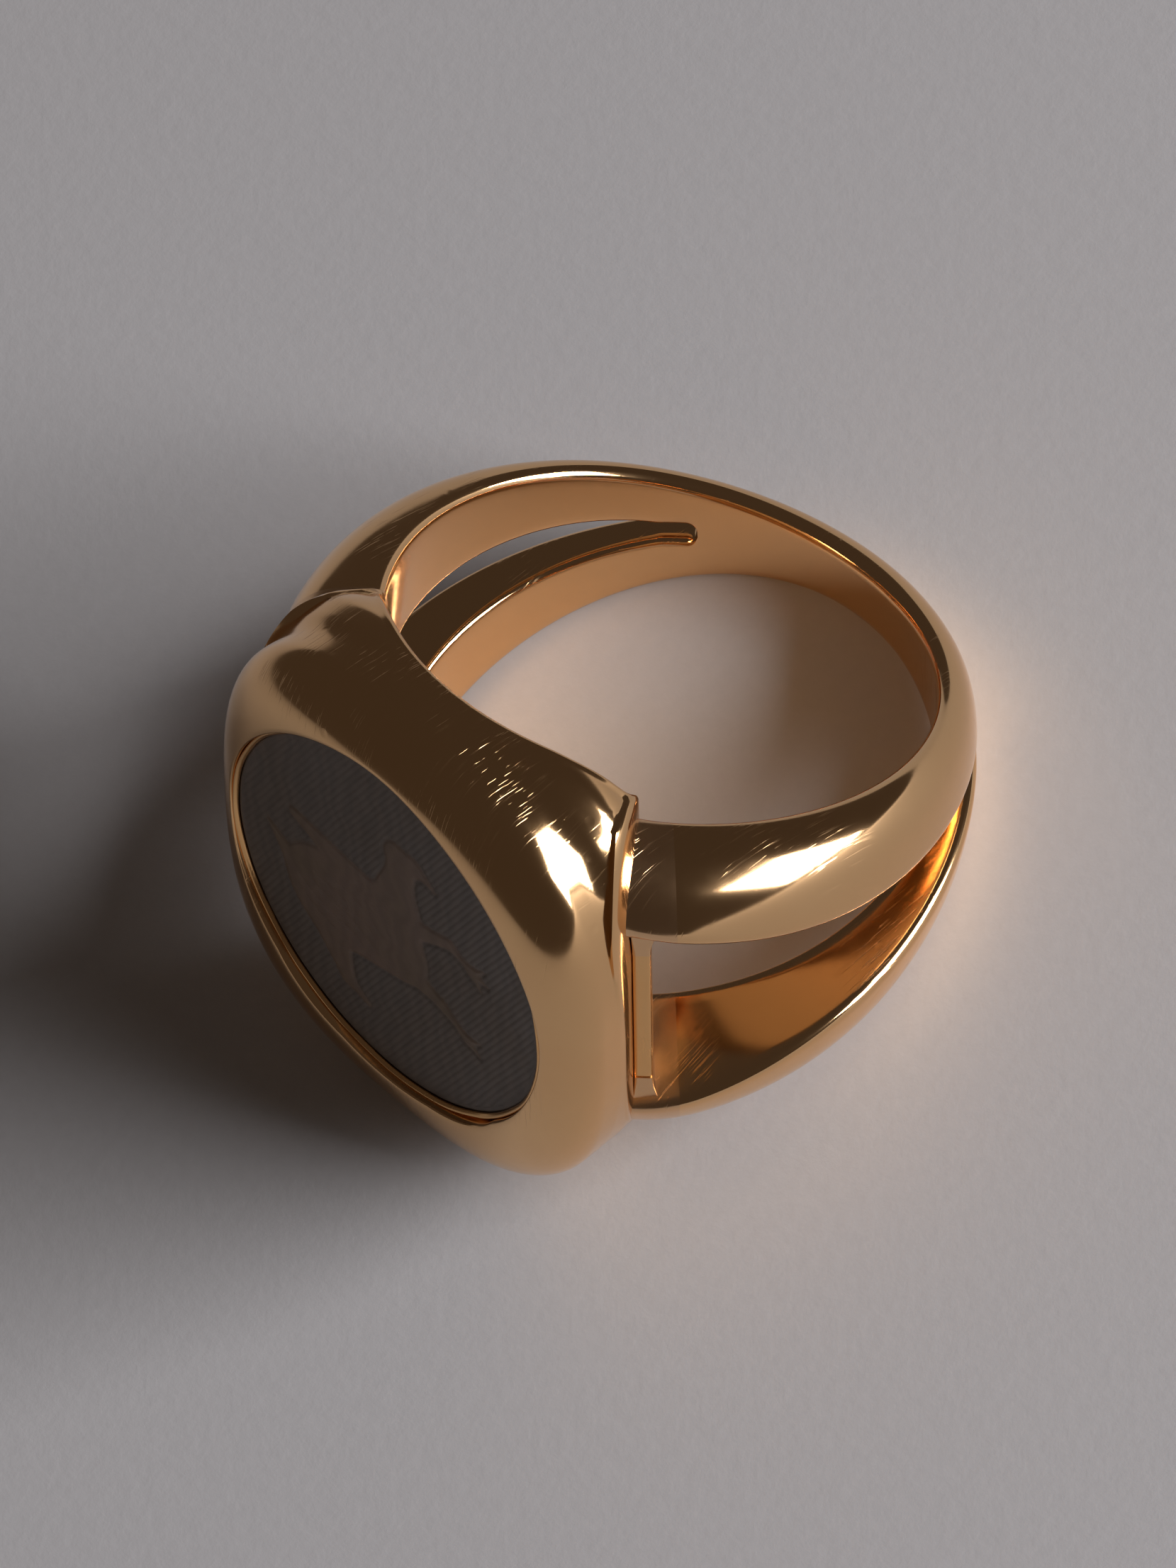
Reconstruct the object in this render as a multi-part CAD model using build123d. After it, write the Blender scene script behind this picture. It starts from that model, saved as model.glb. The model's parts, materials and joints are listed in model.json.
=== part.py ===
from build123d import *
import math
import os

# A gold signet ring lying on its side: split shank, cushion head, two gallery bars, inlaid disc.
# It is drawn with the finger hole along Z and the head towards -Y, then laid down as one.

# ---------------------------------------------------------------- driving sizes, mm and degrees
finger_diameter = 17.5
finger_radius = finger_diameter / 2

head_width = 17.2
head_height = 18.4
head_squareness = 2.7
head_back_squareness_top = 3.6
head_back_squareness_low = 3.0
head_back_inset = 0.35
head_reach = 12.25
head_shoulder_reach = 10.5
head_dome_inset = 2.45

band_half_width_front = 6.66
band_half_width_side = 4.60
band_half_width_back = 1.32
band_thickness_front = 4.90
band_thickness_side = 2.13
band_thickness_back = 1.23
band_fullness = 2.6
rim_flat = 0.25

joint_angle = 42.3
solder_gap_angle = 0.7

slot_end_angle = 140.0
slot_half_gap_front = 2.38
slot_taper = 0.75
slot_end_radius = 0.30
slot_flare = 2.2
slot_flare_fade = 26.0
slot_flare_most = 2.05

disc_radius = 7.03
disc_thickness = 0.85
disc_face_reach = 11.88
disc_centre_height = 0.35
disc_edge_break = 0.08
disc_clearance = 0.02
collar_wall = 0.16
collar_proud = 0.07
cement_thickness = 0.06

bar_width = 0.60
bar_depth = 1.10
bar_set_back = 0.65
bar_fillet = 0.80

os.makedirs("parts", exist_ok=True)


# ---------------------------------------------------------------- laws the band follows round the finger
def round_law(front, side, back, angle):
    """A smooth value round the finger that meets the three given ones at 0, 90 and 180 degrees."""
    a = math.radians(angle)
    mean = (front + back) / 4 + side / 2
    wave = (front + back) / 4 - side / 2
    return mean + (front - back) / 2 * math.cos(a) + wave * math.cos(2 * a)


def half_width(angle):
    return round_law(band_half_width_front, band_half_width_side, band_half_width_back, angle)


def thickness(angle):
    return round_law(band_thickness_front, band_thickness_side, band_thickness_back, angle)


def dome(share):
    """How full the outside of the band is at this share of its half width."""
    return max(1 - abs(share) ** band_fullness, 0) ** (1 / band_fullness)


def slot_inner(angle):
    left = max((slot_end_angle - angle) / (slot_end_angle - 35), 0)
    return max(slot_half_gap_front * left ** slot_taper, slot_end_radius)


def slot_outer(angle):
    flare = slot_flare * math.exp(-(angle - 48) / slot_flare_fade)
    return slot_inner(angle) + (flare ** -4 + slot_flare_most ** -4) ** -0.25


def radial_plane(angle):
    """The plane through the finger axis at this angle: local X runs outwards, local Y is up."""
    a = math.radians(angle)
    outwards = (math.sin(a), -math.cos(a), 0)
    along = (-math.cos(a), -math.sin(a), 0)
    return Plane(origin=(0, 0, 0), x_dir=outwards, z_dir=along)


def steps(start, end, count):
    return [start + (end - start) * i / (count - 1) for i in range(count)]


# ---------------------------------------------------------------- shank: one domed band, sawn open on both sides
def band_section(angle):
    wide = half_width(abs(angle))
    thick = thickness(abs(angle))
    shares = [math.sin(math.radians(s)) for s in steps(-90, 90, 17)]
    rim = finger_radius + rim_flat
    outer = [(rim + (thick - rim_flat) * dome(s), wide * s) for s in shares]
    inside = finger_radius - 1.0
    plane = radial_plane(angle)
    with BuildSketch(plane) as section:
        with BuildLine():
            Spline(*outer, tangents=[(1, 0), (-1, 0)])
            Polyline(outer[-1], (inside, wide), (inside, -wide), outer[0])
        make_face()
    return section.sketch.face()


def slot_section(angle, side):
    wide = half_width(angle)
    thick = thickness(angle)
    inner_half = slot_inner(angle)
    outer_half = min(slot_outer(angle), 0.9 * wide)
    outer_radius = finger_radius + thick * dome(outer_half / wide)
    slope = (outer_half - inner_half) / (outer_radius - finger_radius)
    near = finger_radius - 1.2
    far = finger_radius + thick + 1.5
    near_half = max(inner_half - 1.2 * slope, 0.25)
    far_half = inner_half + (far - finger_radius) * slope
    corners = [(near, -near_half), (far, -far_half), (far, far_half), (near, near_half)]
    with BuildSketch(radial_plane(side * angle)) as section:
        with BuildLine():
            Polyline(*corners, close=True)
        make_face()
    return section.sketch.face()


band_angles = steps(joint_angle, 360 - joint_angle, 19)
band = loft([band_section(a if a <= 180 else a - 360) for a in band_angles])
bore_tool = Cylinder(finger_radius, 60)
band = band - bore_tool

slot_last = slot_end_angle - math.degrees(slot_end_radius / finger_radius)
slot_angles = steps(joint_angle - 4, slot_last, 9)
for side in (-1, 1):
    cutter = loft([slot_section(a, side) for a in slot_angles])
    end_plane = radial_plane(side * slot_last)
    end_length = finger_radius + 2 * band_thickness_side
    end_half = slot_outer(slot_last)
    end_tool = Cylinder(end_half, end_length, align=(Align.CENTER, Align.CENTER, Align.MIN))
    end_axis = Plane(origin=(0, 0, 0), z_dir=end_plane.x_dir)
    end_tool = end_axis * end_tool
    band = band - cutter - end_tool


# ---------------------------------------------------------------- solder seams: a thin slice of each of the four arm ends
def beyond(angle, side):
    """Everything on the head's side of the radial plane at this angle, on one side of the ring."""
    slab = Box(60, 60, 60, align=(Align.CENTER, Align.MAX, Align.CENTER))
    turned = Rot(0, 0, side * (angle - 90)) * slab
    keep = Box(30, 60, 60, align=(Align.MIN if side > 0 else Align.MAX, Align.CENTER, Align.CENTER))
    return turned & keep


seam_angle = joint_angle + solder_gap_angle
head_side = beyond(seam_angle, 1) + beyond(seam_angle, -1)
shoulder_solder = band & head_side
shank = band - head_side


# ---------------------------------------------------------------- head: a cushion block, bored for the finger
def cushion_section(reach, inset, squareness_top=head_squareness, squareness_low=head_squareness):
    half_w = head_width / 2 - inset
    half_h = head_height / 2 - inset
    points = []
    for step in range(48):
        a = 2 * math.pi * (step + 0.5) / 48
        power = 2 / (squareness_top if math.sin(a) > 0 else squareness_low)
        x = half_w * math.copysign(abs(math.cos(a)) ** power, math.cos(a))
        z = half_h * math.copysign(abs(math.sin(a)) ** power, math.sin(a))
        points.append((x, z))
    with BuildSketch(Plane(origin=(0, -reach, 0), x_dir=(1, 0, 0), z_dir=(0, -1, 0))) as section:
        with BuildLine():
            Spline(*points, periodic=True)
        make_face()
    return section.sketch.face()


back_levels = [
    (finger_radius - 3.2, head_back_inset + 1.75),
    (finger_radius - 2.0, head_back_inset + 0.75),
    (finger_radius - 0.6, head_back_inset),
]
dome_height = head_reach - head_shoulder_reach
dome_levels = []
for lean in (0, 20, 40, 58, 74, 90):
    reach = head_shoulder_reach + dome_height * math.sin(math.radians(lean))
    inset = head_dome_inset * (1 - math.cos(math.radians(lean)))
    dome_levels.append((reach, inset))
back_sections = [cushion_section(r, i, head_back_squareness_top, head_back_squareness_low) for r, i in back_levels]
head = loft(back_sections + [cushion_section(r, i) for r, i in dome_levels])
head = head - bore_tool
for side in (-1, 1):
    behind = Rot(0, 0, side * (joint_angle - 90)) * Box(60, 60, 60, align=(Align.CENTER, Align.MIN, Align.CENTER))
    half_space = Box(30, 60, 60, align=(Align.MIN if side > 0 else Align.MAX, Align.CENTER, Align.CENTER))
    head = head - (behind & half_space)

face_plane = Plane(origin=(0, 0, disc_centre_height), x_dir=(1, 0, 0), z_dir=(0, -1, 0))


def round_plate(outer, inner, reach_back, reach_front):
    """A plate or ring round the disc's axis between two distances from the finger axis."""
    long = reach_front - reach_back
    low = (Align.CENTER, Align.CENTER, Align.MIN)
    plate = Cylinder(outer, long, align=low)
    if inner:
        plate = plate - Cylinder(inner, long, align=low)
    return face_plane * Pos(0, 0, reach_back) * plate


seat_radius = disc_radius + disc_clearance + collar_wall
disc_back = disc_face_reach - disc_thickness
seat_floor = disc_back - cement_thickness
head = head - round_plate(seat_radius, 0, seat_floor, head_reach + 2)

# ---------------------------------------------------------------- what sits in the head
collar_inner = disc_radius + disc_clearance
bezel_collar = round_plate(seat_radius, collar_inner, seat_floor, disc_face_reach + collar_proud)
cement_bed = round_plate(disc_radius, 0, seat_floor, disc_back)
inlay_disc = round_plate(disc_radius, 0, disc_back, disc_face_reach)
inlay_disc = chamfer(inlay_disc.edges().sort_by(Axis.Y)[0], disc_edge_break)


# ---------------------------------------------------------------- gallery bars: a strip across each slot behind the head
def gallery(side):
    middle = joint_angle + math.degrees(bar_width / 2 / (finger_radius + thickness(joint_angle)))
    wide = half_width(middle)
    half = min(slot_outer(middle), 0.9 * wide)
    outside = (head_width / 2 - head_back_inset) / math.sin(math.radians(joint_angle)) - bar_set_back
    plane = radial_plane(side * joint_angle)
    along = -side * bar_width / 2
    bar = plane * Pos(outside - bar_depth / 2, 0, along) * Box(bar_depth, 2 * half, bar_width)
    fillets = []
    size = 2 * bar_fillet
    for up in (-1, 1):
        corner = Pos(outside - bar_depth / 2, up * (half - size / 2), -side * (bar_width + size / 2))
        block = Box(0.8 * bar_depth, size, size)
        scoop = Pos(0, -up * size / 2, -side * size / 2) * Rot(0, 90, 0) * Cylinder(0.9 * size, 2 * bar_depth)
        fillets.append(plane * corner * (block - scoop))
    return bar, fillets


bars = {}
bar_solder_solids = []
for side, name in ((1, "gallery_bar_right"), (-1, "gallery_bar_left")):
    bar, fillets = gallery(side)
    bar = bar - shank - shoulder_solder - head
    bars[name] = bar.solids().sort_by(SortBy.VOLUME)[-1]
    for piece in fillets:
        rest = piece - bars[name] - shank - shoulder_solder - head
        bar_solder_solids.append(rest.solids().sort_by(SortBy.VOLUME)[-1])

# ---------------------------------------------------------------- lay the ring down: head and back of the band touch the floor together
pieces = {
    "shank": shank,
    "head": head,
    "shoulder_solder": shoulder_solder,
    "gallery_bar_right": bars["gallery_bar_right"],
    "gallery_bar_left": bars["gallery_bar_left"],
    "bar_solder": Compound(children=bar_solder_solids),
    "bezel_collar": bezel_collar,
    "cement_bed": cement_bed,
    "inlay_disc": inlay_disc,
}


def lowest(shape, lean):
    return (Rot(-lean, 0, 0) * shape).bounding_box().min.Z


lean_low = 0.0
lean_high = 45.0
for step in range(16):
    lean = (lean_low + lean_high) / 2
    if lowest(head, lean) < lowest(shank, lean):
        lean_low = lean
    else:
        lean_high = lean

leaned = {name: Rot(-lean, 0, 0) * shape for name, shape in pieces.items()}
boxes = [leaned[name].bounding_box() for name in ("shank", "head", "inlay_disc")]
front = min(b.min.Y for b in boxes)
rear = max(b.max.Y for b in boxes)
floor = min(b.min.Z for b in boxes)
placed = Pos(0, -(front + rear) / 2, -floor)
print("lean", round(lean, 3), "shift y z", round(-(front + rear) / 2, 4), round(-floor, 4))

for name, shape in leaned.items():
    shape = placed * shape
    shape.label = name
    solids = shape.solids()
    print(name, len(solids), "solids", round(sum(s.volume for s in solids), 3), "mm3")
    export_step(shape, "parts/" + name + ".step")
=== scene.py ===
import json
import math
import bpy
import bmesh
import numpy as np
from mathutils import Vector, Matrix


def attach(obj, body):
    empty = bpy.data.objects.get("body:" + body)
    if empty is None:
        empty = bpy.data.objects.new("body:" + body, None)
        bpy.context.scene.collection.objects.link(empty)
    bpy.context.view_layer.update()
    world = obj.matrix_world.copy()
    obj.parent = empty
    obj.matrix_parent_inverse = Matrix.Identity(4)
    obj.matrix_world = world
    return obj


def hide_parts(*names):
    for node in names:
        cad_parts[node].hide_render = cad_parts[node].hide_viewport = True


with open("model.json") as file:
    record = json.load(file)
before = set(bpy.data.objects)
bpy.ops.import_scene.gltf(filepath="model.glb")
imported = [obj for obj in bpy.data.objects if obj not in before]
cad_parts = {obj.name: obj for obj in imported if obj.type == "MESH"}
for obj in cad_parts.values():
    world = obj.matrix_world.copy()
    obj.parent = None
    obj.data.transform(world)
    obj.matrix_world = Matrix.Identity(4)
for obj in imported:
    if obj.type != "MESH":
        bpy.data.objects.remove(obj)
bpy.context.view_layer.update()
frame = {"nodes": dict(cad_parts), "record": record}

# ---------------------------------------------------------------- split shank
# One casting in 18 carat yellow gold: a domed band, sawn and filed open on both sides
# into two arms that run up to the head. The finger hole is round and its rims are rolled soft.

# the finger hole's place and lean come from the model's own record, so every piece is drawn
# round an upright finger hole in millimetres, head towards -Y, and then laid down
finger_bore = frame["record"]["mounts"][0]
hole_middle = Vector(finger_bore["pos_m"])
lean = math.atan2(finger_bore["axis"][1], finger_bore["axis"][2])
finger_radius = finger_bore["dims"]["r_mm"]


def laid_down(x, y, z):
    """Where a point drawn round the upright finger hole, in mm, is on the lying ring, in metres."""
    up = z * math.cos(lean) - y * math.sin(lean)
    back = y * math.cos(lean) + z * math.sin(lean)
    return (hole_middle.x + x / 1000, hole_middle.y + back / 1000, hole_middle.z + up / 1000)


def round_the_finger(angle, out, height):
    """The same, from an angle round the finger (0 at the head), a radius and a height."""
    return laid_down(out * math.sin(angle), -out * math.cos(angle), height)


def linear(hex_colour):
    """An sRGB hex colour as linear values with alpha."""
    parts = [int(hex_colour[i:i + 2], 16) / 255 for i in (1, 3, 5)]
    return [p / 12.92 if p <= 0.04045 else ((p + 0.055) / 1.055) ** 2.4 for p in parts] + [1.0]


def add_node(tree, kind, inputs=None, links=None, **settings):
    """Adds one node with its settings, its input values and the links into it."""
    node = tree.nodes.new(kind)
    for name, value in settings.items():
        setattr(node, name, value)
    for name, value in (inputs or {}).items():
        node.inputs[name].default_value = value
    for name, source in (links or {}).items():
        tree.links.new(source, node.inputs[name])
    return node


def new_material(name):
    material = bpy.data.materials.new(name)
    material.use_nodes = True
    material.node_tree.nodes.clear()
    return material, material.node_tree


def polished_gold(name, colour, warm_colour, worn, scuff_depth):
    """18 carat yellow gold, cast, filed and buffed, then worn for years: a mirror polish that
    hairline scratches, tiny dents and finger grease have softened, so reflections stay sharp but
    never perfect."""
    material, tree = new_material(name)
    place = add_node(tree, "ShaderNodeTexCoord").outputs["Object"]
    # handling haze: patches 3 to 6 mm across
    haze = add_node(tree, "ShaderNodeTexNoise", {"Scale": 220.0, "Detail": 4.0, "Roughness": 0.6},
                    {"Vector": place})
    # fine pits left by casting, up to 0.3 mm across and rare
    pits = add_node(tree, "ShaderNodeTexVoronoi", {"Scale": 900.0}, {"Vector": place})
    pit_mask = add_node(tree, "ShaderNodeMapRange",
                        {"From Min": 0.05, "From Max": 0.16, "To Min": 1.0, "To Max": 0.0},
                        {"Value": pits.outputs["Distance"]})
    # hairline scratches: about 2 mm long and 0.07 mm wide, in three directions
    scratch_sum = None
    for turn, stretch in ((0.35, 26.0), (1.25, 34.0), (2.3, 30.0)):
        turned = add_node(tree, "ShaderNodeMapping",
                          {"Rotation": (turn, 0.6 * turn, turn), "Scale": (stretch, 1.0, 1.0)},
                          {"Vector": place})
        lines = add_node(tree, "ShaderNodeTexNoise",
                         {"Scale": 480.0, "Detail": 2.0, "Distortion": 0.1},
                         {"Vector": turned.outputs["Vector"]})
        keen = add_node(tree, "ShaderNodeMapRange", {"From Min": 0.64, "From Max": 0.71},
                        {"Value": lines.outputs["Fac"]})
        if scratch_sum is None:
            scratch_sum = keen.outputs["Result"]
        else:
            scratch_sum = add_node(tree, "ShaderNodeMath",
                                   links={0: scratch_sum, 1: keen.outputs["Result"]},
                                   operation="MAXIMUM").outputs["Value"]
    # they gather in patches about 3 mm across
    patchy = add_node(tree, "ShaderNodeTexNoise", {"Scale": 320.0, "Detail": 2.0},
                      {"Vector": place})
    where = add_node(tree, "ShaderNodeMapRange", {"From Min": 0.46, "From Max": 0.62},
                     {"Value": patchy.outputs["Fac"]})
    scratches = add_node(tree, "ShaderNodeMath", links={0: scratch_sum, 1: where.outputs["Result"]},
                         operation="MULTIPLY").outputs["Value"]
    tint = add_node(tree, "ShaderNodeMix", {"A": linear(colour), "B": linear(warm_colour)},
                    {"Factor": haze.outputs["Fac"]}, data_type="RGBA")
    rough = add_node(tree, "ShaderNodeMapRange",
                     {"From Min": 0.35, "From Max": 0.75, "To Min": worn, "To Max": worn * 2.2},
                     {"Value": haze.outputs["Fac"]})
    rough = add_node(tree, "ShaderNodeMath", {1: 0.12}, {0: scratches, 2: rough.outputs["Result"]},
                     operation="MULTIPLY_ADD")
    marks = add_node(tree, "ShaderNodeMath", {1: 0.8},
                     {0: pit_mask.outputs["Result"], 2: scratches}, operation="MULTIPLY_ADD")
    # the faint waviness that a hand-held buff leaves, 2 to 3 mm from crest to crest
    ripple = add_node(tree, "ShaderNodeTexNoise", {"Scale": 420.0, "Detail": 1.0},
                      {"Vector": place})
    relief = add_node(tree, "ShaderNodeMath", {1: -0.35},
                      {0: marks.outputs["Value"], 2: ripple.outputs["Fac"]},
                      operation="MULTIPLY_ADD")
    bump = add_node(tree, "ShaderNodeBump", {"Strength": 1.0, "Distance": scuff_depth},
                    {"Height": relief.outputs["Value"]})
    shader = add_node(tree, "ShaderNodeBsdfPrincipled", {"Metallic": 1.0},
                      {"Base Color": tint.outputs["Result"], "Roughness": rough.outputs["Value"],
                       "Normal": bump.outputs["Normal"]})
    add_node(tree, "ShaderNodeOutputMaterial", links={"Surface": shader.outputs["BSDF"]})
    return material


shank_gold = polished_gold("yellow_gold_18ct_cast_and_buffed", "#F3C894", "#EABB86", 0.07, 0.000006)


def make_piece(name, points, faces, material, smooth_angle=40):
    """A plain mesh from points in metres and faces, facing outwards, smooth but for real edges."""
    mesh = bpy.data.meshes.new(name)
    mesh.from_pydata(points, [], faces)
    tidy = bmesh.new()
    tidy.from_mesh(mesh)
    same_point = 1e-7
    bmesh.ops.remove_doubles(tidy, verts=tidy.verts, dist=same_point)
    bmesh.ops.recalc_face_normals(tidy, faces=tidy.faces)
    limit = math.radians(smooth_angle)
    for face in tidy.faces:
        face.smooth = True
    for edge in tidy.edges:
        edge.smooth = not (len(edge.link_faces) == 2 and edge.calc_face_angle(0) > limit)
    tidy.to_mesh(mesh)
    tidy.free()
    mesh.materials.append(material)
    piece = bpy.data.objects.new(name, mesh)
    bpy.context.scene.collection.objects.link(piece)
    return piece


def round_law(front, side, back, angle):
    """A smooth value round the finger that meets the three given ones at 0, 90 and 180 degrees."""
    mean = (front + back) / 4 + side / 2
    wave = (front + back) / 4 - side / 2
    return mean + (front - back) / 2 * math.cos(angle) + wave * math.cos(2 * angle)


# the arms meet the head this far round the finger; the band's half width and its thickness are
# given in millimetres at the head, at the side and at the back
joint_angle = math.radians(42.3)
half_widths = (6.66, 4.60, 1.32)
thicknesses = (4.90, 2.13, 1.23)
joint_draw_in, draw_in_reach = 0.085, math.radians(11)


def band_half_width(angle):
    return round_law(*half_widths, angle)


def band_thickness(angle):
    """The arms draw in a little at the joint, so they start flush inside the head's side."""
    drawn_in = max(1 - (angle - joint_angle) / draw_in_reach, 0) if angle > joint_angle else 1
    return round_law(*thicknesses, angle) * (1 - joint_draw_in * drawn_in * drawn_in)


# 2 would be a round back; the arms add to it, most of all near the head
back_fullness, arm_fullness, fullness_shift = 2.6, 0.7, 0.1


def dome(share, angle):
    """The band's rounded back; the arms are squarer, with a firm ridge, as they near the head."""
    fullness = back_fullness + arm_fullness * max(math.cos(angle / 2 + fullness_shift), 0)
    return max(1 - abs(share) ** fullness, 0) ** (1 / fullness)


# the saw cut narrows from the head to its round end, and is filed wider outside than inside, by a
# flare that dies away behind the head; all in millimetres but the angles and the taper's power
slot_end, slot_end_round = math.radians(140.4), math.radians(2.6)
slot_half_gap, slot_half_gap_least, slot_taper = 2.38, 0.34, 0.75
taper_from, taper_run = math.radians(140), math.radians(105)
flare_half_gap, flare_most, flare_from_deg, flare_fade_deg = 2.2, 2.05, 48, 26


def slot_end_share(angle):
    """1 along the saw cut, falling almost to nothing in its round end."""
    past = (angle - (slot_end - slot_end_round)) / slot_end_round
    return math.sqrt(max(1 - max(past, 0) ** 2, 0.002))


def slot_inner(angle):
    """Half the gap between the two arms at the finger."""
    left = max((taper_from - angle) / taper_run, 0)
    return max(slot_half_gap * left ** slot_taper, slot_half_gap_least) * slot_end_share(angle)


def slot_outer(angle):
    """Half the gap between the two arms outside."""
    flare = flare_half_gap * math.exp(-(math.degrees(angle) - flare_from_deg) / flare_fade_deg)
    flare = (flare ** -4 + flare_most ** -4) ** -0.25
    return slot_inner(angle) + flare * slot_end_share(angle)


def resample(line, count, cut_start=0.0, cut_end=0.0):
    """The same number of evenly spaced points along a line, short of its ends by the cuts."""
    line = np.array(line)
    step = np.hypot(*np.diff(line, axis=0).T)
    along = np.concatenate([[0], np.cumsum(step)])
    at = np.linspace(cut_start, along[-1] - cut_end, count)
    return [(float(np.interp(a, along, line[:, 0])), float(np.interp(a, along, line[:, 1])))
            for a in at]


def rolled_corner(before, corner, after, count):
    """Points of a soft corner between two neighbours, without the neighbours."""
    out = []
    for i in range(1, count + 1):
        t = i / (count + 1)
        out.append(tuple((1 - t) ** 2 * b + 2 * t * (1 - t) * c + t * t * a
                         for b, c, a in zip(before, corner, after)))
    return out


# how far the edges are rolled soft, and the most of a wall that a roll may take
rim_roll, slot_roll, roll_share = 0.42, 0.34, 0.3
outer_gap_share = 0.9
dome_points, wall_points, inner_points, corner_points = 26, 12, 9, 4
dome_steps = 80


def dome_line(angle, end_share):
    """The domed outside, from the rim to a share of the half width."""
    wide, thick = band_half_width(angle), band_thickness(angle)
    last = math.asin(min(end_share, 1))
    line = []
    for i in range(dome_steps + 1):
        s = math.sin(math.pi / 2 + (last - math.pi / 2) * i / dome_steps)
        line.append((finger_radius + thick * dome(s, angle), wide * s))
    return line


def arm_outline(angle):
    """The upper arm's section: rim, domed outside, slot corner, slot wall, slot corner, inside."""
    wide = band_half_width(angle)
    inner, outer = slot_inner(angle), min(slot_outer(angle), outer_gap_share * wide)
    outside = dome_line(angle, outer / wide)
    rim = (finger_radius, wide)
    slot_edge, inner_edge = outside[-1], (finger_radius, inner)
    roll = min(slot_roll, roll_share * math.dist(slot_edge, inner_edge))
    roll *= 0.3 + 0.7 * slot_end_share(angle)
    rim_soft = min(rim_roll, roll_share * wide)
    outside = resample(outside, dome_points, rim_soft, roll)
    wall = resample([slot_edge, inner_edge], wall_points, roll, roll)
    inside = resample([inner_edge, rim], inner_points, roll, rim_soft)
    loop = rolled_corner(inside[-1], rim, outside[0], corner_points) + outside
    loop += rolled_corner(outside[-1], slot_edge, wall[0], corner_points) + wall
    loop += rolled_corner(wall[-1], inner_edge, inside[0], corner_points) + inside
    return loop


def closed_half(angle):
    """The upper half of the undivided band: the same rim corner, outside and inside as an arm."""
    wide = band_half_width(angle)
    from_middle = 0.015
    roll = min(rim_roll, roll_share * wide)
    outside = resample(dome_line(angle, from_middle / wide), dome_points, roll, 0)
    inside = resample([(finger_radius, from_middle), (finger_radius, wide)], inner_points, 0, roll)
    rim = rolled_corner(inside[-1], (finger_radius, wide), outside[0], corner_points)
    return rim + outside, inside


def mirrored(loop):
    """The lower arm's section from the upper one's."""
    return [(out, -height) for out, height in loop]


shank_points, shank_faces = [], []


def add_loop(angle, loop):
    first = len(shank_points)
    shank_points.extend(round_the_finger(angle, out, height) for out, height in loop)
    return list(range(first, len(shank_points)))


def join_loops(faces, loop_a, loop_b):
    """A belt of four-sided faces from one closed loop of points to the next."""
    for i in range(len(loop_a)):
        j = (i + 1) % len(loop_a)
        faces.append((loop_a[i], loop_a[j], loop_b[j], loop_b[i]))


# each arm starts 2.5 degrees inside the head and ends where its saw cut does
arm_steps, round_steps, back_steps = 104, 14, 90
arm_root = joint_angle - math.radians(2.5)
round_from = slot_end - slot_end_round
arm_angles = [arm_root + (round_from - arm_root) * i / arm_steps for i in range(arm_steps + 1)]
arm_angles += [round_from + slot_end_round * math.sin(math.pi / 2 * i / round_steps)
               for i in range(1, round_steps + 1)]
outer_part = corner_points + dome_points
band_ends = {}
for side in (1, -1):
    for up in (1, -1):
        before = None
        for angle in arm_angles:
            loop = arm_outline(angle)
            ids = add_loop(side * angle, loop if up > 0 else mirrored(loop))
            if before:
                join_loops(shank_faces, before, ids)
            else:
                shank_faces.append(tuple(ids))
            before = ids
        band_ends[side, up] = before
    # the blunt end of the saw cut joins the two slot walls
    top, low = band_ends[side, 1], band_ends[side, -1]
    chain = list(range(outer_part - 1, len(top) - inner_points + 1))
    for a, b in zip(chain, chain[1:]):
        shank_faces.append((top[a], top[b], low[b], low[a]))

# the undivided back of the band, from one saw cut's end to the other
back_angles = [slot_end + (2 * math.pi - 2 * slot_end) * i / back_steps
               for i in range(back_steps + 1)]


def band_loop(side):
    """The outside and the inside of the band where two arms end, as one loop round both."""
    top, low = band_ends[side, 1], band_ends[side, -1]
    outer_ids = top[:outer_part] + low[:outer_part][::-1]
    return outer_ids, low[-inner_points:][::-1] + top[-inner_points:]


outer_before, inner_before = band_loop(1)
for number, angle in enumerate(back_angles[1:], 1):
    if number == len(back_angles) - 1:
        outer_ids, inner_ids = band_loop(-1)
    else:
        from_back = angle if angle <= math.pi else 2 * math.pi - angle
        outside, inside = closed_half(from_back)
        outer_ids = add_loop(angle, outside + mirrored(outside)[::-1])
        inner_ids = add_loop(angle, mirrored(inside)[::-1] + inside)
    join_loops(shank_faces, outer_before + inner_before, outer_ids + inner_ids)
    outer_before, inner_before = outer_ids, inner_ids

shank = make_piece("split_shank", shank_points, shank_faces, shank_gold, 50)
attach(shank, "root")
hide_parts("shank")

# ---------------------------------------------------------------- cushion head
# A solid cushion-shaped block of the same gold, bored through for the finger and pillowed towards
# its face, with a round flat seat sunk in the face for the disc. Soldered to the four arm ends.
head_width, head_height, head_squareness = 17.2, 18.4, 2.7
corner_bulge_top, corner_bulge_low = 1.2, 0.3
head_reach, head_shoulder_reach, dome_inset = 12.25, 10.5, 2.45
disc_radius, disc_height, disc_reach = 7.03, 0.35, 11.88
seat_radius, seat_floor_reach = 7.21, disc_reach - 0.9
corner_from, corner_run = 9.9, 2.4
head_gold = polished_gold("yellow_gold_18ct_buffed_head", "#F3C892", "#E9B883", 0.085, 0.000012)


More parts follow.
